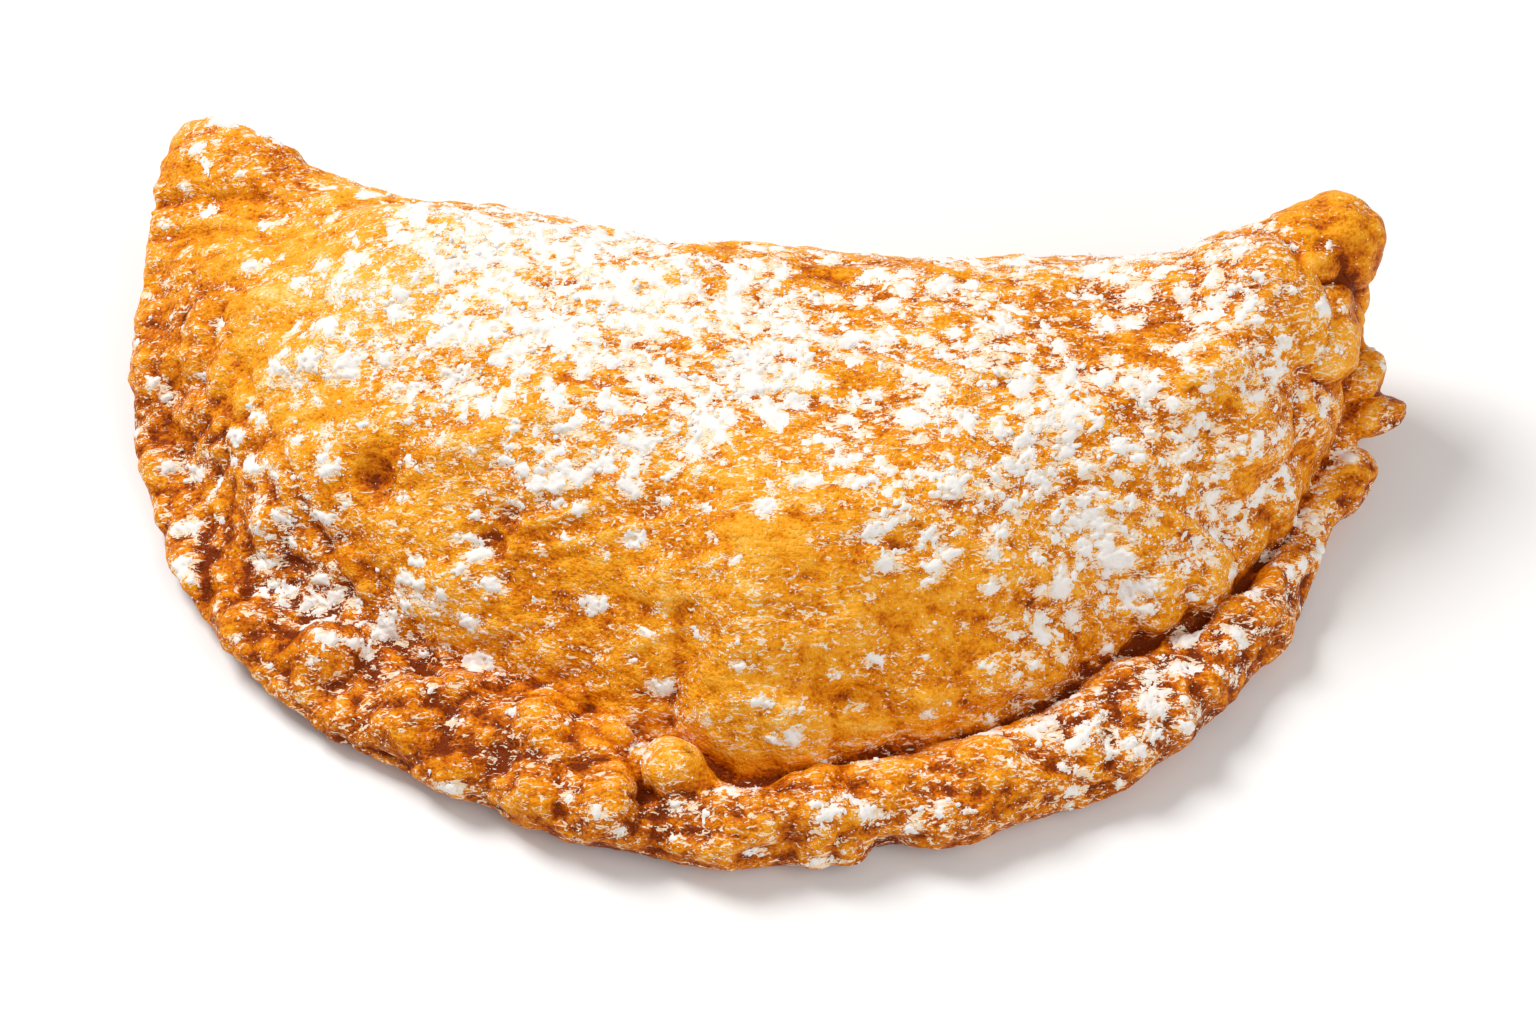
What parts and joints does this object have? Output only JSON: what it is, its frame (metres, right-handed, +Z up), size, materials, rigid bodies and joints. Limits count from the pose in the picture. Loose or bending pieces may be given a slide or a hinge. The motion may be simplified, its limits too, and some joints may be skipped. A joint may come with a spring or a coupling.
{
  "type": "fried pie",
  "caption": "Half-moon fried pie: a folded round of puffed golden dough with a crimped, blistered rim, a flat ear and a pinched knob at its tips, dusted with icing sugar.",
  "frame": {"origin": "under the middle of the pie's box, on the surface that it rests on", "axes": "+X along the pie from the flat ear to the knob, +Z up, -Y towards the crimped edge"},
  "size_m": [0.175, 0.1092, 0.0384],
  "materials": {
    "fried_crust": "crisp golden-brown fried dough, slightly oily",
    "icing_sugar": "matte white powder"
  },
  "bodies": {
    "root": {"fried_pie": "fried_crust"}
  },
  "joints": []
}
